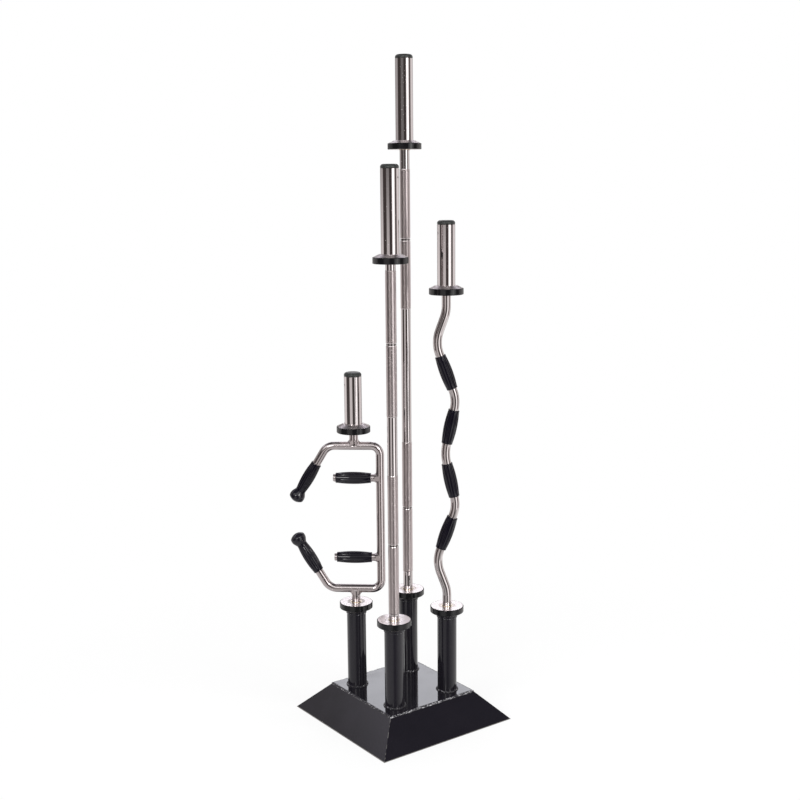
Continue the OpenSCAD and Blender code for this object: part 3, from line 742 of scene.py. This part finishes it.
def end_knob(bm, place):
    """A turned knob: a cone out from the grip's size, a band and a domed end, edges rounded."""
    foot = KNOB_SEAT - KNOB_LEN
    dome_end = foot + KNOB_DOME
    cone_end = KNOB_SEAT - KNOB_CONE
    dome_r = (KNOB_R**2 + KNOB_DOME**2) / (2 * KNOB_DOME)
    half = math.asin(KNOB_R / dome_r)
    tilts = [half * i / 14 for i in range(15)]
    outline = [(dome_r * math.sin(t), foot + dome_r * (1 - math.cos(t))) for t in tilts]
    outline += [(KNOB_R, cone_end), (KNOB_NECK_R, KNOB_SEAT)]
    outline += [(FRAME_R, KNOB_SEAT), (FRAME_R, 0), (0, 0)]
    before = set(bm.verts)
    whole_spin(bm, outline, 96, closed=False)
    edges_to_round = (
        (KNOB_R, dome_end, 3.2 * MM),
        (KNOB_R, cone_end, 4.5 * MM),
        (KNOB_NECK_R, KNOB_SEAT, 0.6 * MM),
    )
    for r, h, offset in edges_to_round:
        ring = set()
        for vert in bm.verts:
            off = max(abs(math.hypot(vert.co.x, vert.co.y) - r), abs(vert.co.z - h))
            if vert not in before and off < 0.01 * MM:
                ring.add(vert)
        edges = [e for e in bm.edges if e.verts[0] in ring and e.verts[1] in ring]
        bmesh.ops.bevel(
            bm, geom=edges, offset=offset, offset_type="OFFSET", affect="EDGES", segments=6,
            profile=0.5, material=-1,
        )
    bmesh.ops.transform(bm, matrix=place, verts=[v for v in bm.verts if v not in before])


def end_knobs():
    """The knobs stand on the ends of the two angled handles, in line with their grips."""
    low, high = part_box("multi_bar_frame")
    turn = math.radians(BAR_TURN["multi_bar"])
    normal = Vector((-math.sin(turn), math.cos(turn), 0))
    bm = bmesh.new()
    for length, place in grip_places("multi_bar_long_grips", normal, True):
        upper = place.translation.z > (low.z + high.z) / 2
        to_rail = place if upper else place @ Matrix.Rotation(math.pi, 4, "X")
        end_knob(bm, to_rail @ Matrix.Translation((0, 0, -KNOB_SEAT - length / 2)))
    body = "multi_bar_middle"
    make_piece(
        bm, "turned_end_knobs", knob_black, body, "knob_black", "multi_bar_end_knobs", crease=50
    )


def grub_screw(bar, end):
    """A headless screw with a hexagon socket, just under the sleeve's surface."""
    low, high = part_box(f"{bar}_{end}_sleeve")
    upper = end == "upper"
    height = high.z - SCREW_DROP if upper else low.z + SCREW_DROP
    side = math.radians(SCREW_SIDE[bar] if upper else -SCREW_SIDE[bar])
    centre = Vector(((low.x + high.x) / 2, (low.y + high.y) / 2, height))
    length = 10 * MM
    screw_r = 2.45 * MM
    bm = bmesh.new()
    bmesh.ops.create_cone(
        bm, cap_ends=True, segments=36, radius1=screw_r, radius2=screw_r, depth=length
    )
    top = max(bm.faces, key=lambda face: face.calc_center_median().z)
    bmesh.ops.inset_region(bm, faces=[top], thickness=0.35 * MM, depth=0)
    bmesh.ops.inset_region(bm, faces=[top], thickness=0.5 * MM, depth=0)
    flat = 1.25 * MM
    for vert in top.verts:
        angle = math.atan2(vert.co.y, vert.co.x)
        reach = flat / math.cos((angle + math.pi / 6) % (math.pi / 3) - math.pi / 6)
        vert.co.x, vert.co.y = reach * math.cos(angle), reach * math.sin(angle)
    sunk = bmesh.ops.extrude_face_region(bm, geom=[top])["geom"]
    bottom = [v for v in sunk if isinstance(v, bmesh.types.BMVert)]
    bmesh.ops.translate(bm, verts=bottom, vec=(0, 0, -2.2 * MM))
    bmesh.ops.delete(bm, geom=[top], context="FACES_ONLY")
    outward = Vector((math.cos(side), math.sin(side), 0))
    place = Matrix.Translation(centre + outward * (SLEEVE_R - 0.7 * MM - length / 2))
    place = place @ outward.to_track_quat("Z", "Y").to_matrix().to_4x4()
    bmesh.ops.transform(bm, matrix=place, verts=bm.verts)
    name = f"{bar}_{end}"
    make_piece(bm, f"{name}_grub_screw", screw_steel, f"{name}_end", "bolt_steel", crease=30)


# Studio


# Tones all round the studio, by degrees from the camera's side, right positive. Each
# stretch is a softbox, a black flag or a plain wall, as a shaft or a tube reflects it.


def left_side(wall, edge, far, flag, box, box_end):
    """From behind the rack round by its left: walls, a flag and the softbox beside the eye."""
    return (
        (-180, far, PINK), (-172, far, PINK), (-167, edge, PINK), (-150, edge, PINK),
        (-144, wall, PINK), (-94, wall, PINK), (-87, flag, BROWN), (-44, flag, BROWN),
        (-39, box, PINK), (-9, box_end, PINK),
    )


def right_side(core):
    """The flag behind the eye, the light strip to its right with its bright core, and beyond."""
    return (
        (-4, 0.05, BROWN), (25, 0.05, BROWN), (29, 1.15, PLAIN), (40, 1.2, PLAIN),
        (42, core, PLAIN), (48, core, PLAIN), (50, 1.2, PLAIN), (61, 1.1, PLAIN),
        (66, 0.085, BROWN), (89, 0.13, BROWN), (95, 0.80, PINK), (144, 0.85, PINK),
        (150, 0.22, PINK), (167, 0.22, PINK), (172, 0.85, PINK), (180, 0.85, PINK),
    )


LOW_WALLS = left_side(0.78, 0.26, 0.85, 0.062, 0.66, 0.66) + right_side(1.9)
HIGH_WALLS = left_side(0.42, 0.2, 0.5, 0.055, 0.19, 0.17) + right_side(3.6)
GROUND = (
    (-180, 0.95, PLAIN), (-120, 0.85, PLAIN), (-85, 0.60, PLAIN), (-30, 0.52, PLAIN),
    (-14, 0.42, PLAIN), (-4, 0.10, PLAIN), (12, 0.10, PLAIN), (22, 0.26, PLAIN),
    (40, 0.45, PLAIN), (62, 0.75, PLAIN), (90, 1.05, PLAIN), (120, 1.15, PLAIN),
    (180, 0.95, PLAIN),
)
# Tones of the big softbox in front and above, by the height of the ray
OVERHEAD = (
    (0.18, 0.3), (0.30, 0.55), (0.36, 0.9), (0.50, 1.2), (0.68, 1.4), (0.72, 1.3),
    (0.755, 0.8), (0.79, 0.1), (0.93, 0.1), (0.96, 0.4), (1.0, 0.3),
)
# Two narrow lamps that put the streaks on grips and knobs, as pairs of degrees, and how
# softly their sides end, as a share of the whole round
STRIPS = ((-26, -14), (26, 40))
STRIP_TONE = 10.0
STRIP_BLUR = 0.004


def shine(tone, tint):
    return tuple(tone * c / STUDIO_SHINE for c in tint)


def studio(back, right):
    """White where the camera looks past the rack; softboxes and flags where gloss reflects."""
    world = bpy.data.worlds.new("studio")
    bpy.context.scene.world = world
    f = Finish(world)
    ray = f.node("ShaderNodeLightPath")
    where = f.node("ShaderNodeTexCoord", output="Generated")
    back_flat = Vector((back.x, back.y, 0)).normalized()
    dot = {"operation": "DOT_PRODUCT"}
    across, along = (
        f.node("ShaderNodeVectorMath", dot, {0: where, 1: way[:]}, "Value")
        for way in (right, back_flat)
    )
    height = f.parts(where)[2]
    turned = f.node("ShaderNodeMath", {"operation": "ARCTAN2"}, {0: across, 1: along})
    turned = turned / math.tau + 0.5

    def all_round(tones):
        stops = [((angle + 180) / 360, shine(tone, tint)) for angle, tone, tint in tones]
        return f.node("ShaderNodeValToRGB", {"stops": stops}, {0: turned})

    walls = f.colour(f.fade(height, -0.09, 0.03), all_round(LOW_WALLS), all_round(HIGH_WALLS))
    walls = f.colour(f.fade(height, -0.30, -0.14, 0.08, 0.0), walls, shine(0.8, PINK))
    walls = f.colour(f.fade(height, -0.352, -0.334), all_round(GROUND), walls)
    walls = f.colour(f.fade(height, -0.56, -0.46, 1, 0), walls, shine(0.65, PLAIN))

    from_front = abs(turned - 0.5)
    front = f.fade(from_front, 0.17, 0.22, 1, 0)
    behind = f.most(f.fade(turned, 0.19, 0.27, 1, 0), f.fade(turned, 0.83, 0.88))
    dim = f.colour(f.fade(height, 0.60, 0.72), (0.122, 0.117, 0.129), (0.012, 0.0115, 0.012))
    roof = f.colour(behind, (0.0064, 0.0062, 0.0068), dim)
    stops = [(z, shine(tone, PLAIN)) for z, tone in OVERHEAD]
    overhead = f.node("ShaderNodeValToRGB", {"stops": stops}, {0: height})
    roof = f.colour(front, roof, overhead)
    roof = f.colour(f.fade(height, 0.955, 0.985), roof, (0.045, 0.044, 0.044))

    above = f.most(f.fade(height, 0.47, 0.53), front * f.fade(height, 0.18, 0.27))
    seen = f.colour(above, walls, roof)
    bank = f.fade(from_front, 0.470, 0.478)
    bank = bank * f.fade(height, 0.35, 0.375) * f.fade(height, 0.47, 0.51, 1, 0)
    seen = f.colour(bank, seen, (0.385, 0.387, 0.412))
    for low_edge, high_edge in STRIPS:
        lo, hi = low_edge / 360 + 0.5, high_edge / 360 + 0.5
        after = f.fade(turned, lo - STRIP_BLUR, lo + STRIP_BLUR)
        until = f.fade(turned, hi - STRIP_BLUR, hi + STRIP_BLUR, 1, 0)
        strip = after * until * f.fade(height, 0.23, 0.27) * f.fade(height, 0.38, 0.46, 1, 0)
        seen = f.colour(strip, seen, shine(STRIP_TONE, PLAIN))

    white = (1, 1, 1, 1)
    lit = f.node("ShaderNodeBackground", values={"Color": white, "Strength": 0.55})
    mirrored = f.node("ShaderNodeBackground", values={"Color": seen, "Strength": STUDIO_SHINE})
    clear = f.node("ShaderNodeBackground", values={"Color": white, "Strength": 1.0})
    sharp = f.most(ray.out("Is Glossy Ray"), ray.out("Is Transmission Ray"))
    shown = f.node("ShaderNodeMixShader", values={0: sharp, 1: lit, 2: mirrored})
    shown = f.node("ShaderNodeMixShader", values={0: ray.out("Is Camera Ray"), 1: shown, 2: clear})
    f.node("ShaderNodeOutputWorld", values={"Surface": shown})
    world.cycles.sampling_method = "NONE"


def soft_lamp(name, place, target, width, height, watts):
    light = bpy.data.lights.new(name, "AREA")
    light.shape = "RECTANGLE"
    light.size, light.size_y = width, height
    light.energy = watts
    lamp = bpy.data.objects.new(name, light)
    lamp.location = place
    lamp.rotation_mode = "QUATERNION"
    lamp.rotation_quaternion = (Vector(place) - Vector(target)).to_track_quat("Z", "Y")
    lamp.visible_glossy = False
    bpy.context.scene.collection.objects.link(lamp)


def white_floor():
    """A white sweep that keeps a faint shadow near the rack and is plain white further out."""
    bm = bmesh.new()
    bmesh.ops.create_circle(bm, cap_ends=True, segments=96, radius=2.3)
    bmesh.ops.translate(bm, verts=bm.verts, vec=(0, 0, -0.2 * MM))
    mesh = bpy.data.meshes.new("floor")
    bm.to_mesh(mesh)
    bm.free()
    floor = bpy.data.objects.new("floor", mesh)
    bpy.context.scene.collection.objects.link(floor)
    f = new_finish("white_sweep")
    x, y, _ = f.parts(f.place())
    far = f.fade(f.root(x * x + y * y), 0.45, 1.5)
    ray = f.node("ShaderNodeLightPath", output="Is Camera Ray")
    paint = f.node("ShaderNodeBsdfDiffuse", values={"Color": (0.98, 0.98, 0.98, 1)})
    clear = f.node("ShaderNodeEmission", values={"Color": (1, 1, 1, 1), "Strength": 1.0})
    plain_share = ray * (0.76 + 0.24 * far)
    shown = f.node("ShaderNodeMixShader", values={0: plain_share, 1: paint, 2: clear})
    f.node("ShaderNodeOutputMaterial", values={"Surface": shown})
    mesh.materials.append(f.owner)
    floor.visible_glossy = False


back, right = place_camera()
dress_nodes()
edge_beads()
tube_beads()
fluted_grips("curl_bar_grips", "curl_bar", 31.5, 38, 25, True)
fluted_grips("multi_bar_short_grips", "multi_bar", 29.5, 35.5, 22, False)
fluted_grips("multi_bar_long_grips", "multi_bar", 30, 36.5, 24, True)
end_knobs()
neck_welds()
for bar in BARS:
    grub_screw(bar, "lower")
    grub_screw(bar, "upper")
studio(back, right)
soft_lamp("left_lamp", (-2.9, -1.2, 2.3), (0, 0, 0.8), 1.8, 2.2, 54)
soft_lamp("right_lamp", (1.2, -3.0, 2.2), (0, 0, 0.8), 1.8, 2.2, 44)
soft_lamp("top_lamp", (0.6, 0.9, 3.6), (0, 0, 0.6), 2.2, 2.2, 34)
white_floor()

bpy.context.scene.view_settings.view_transform = "Standard"
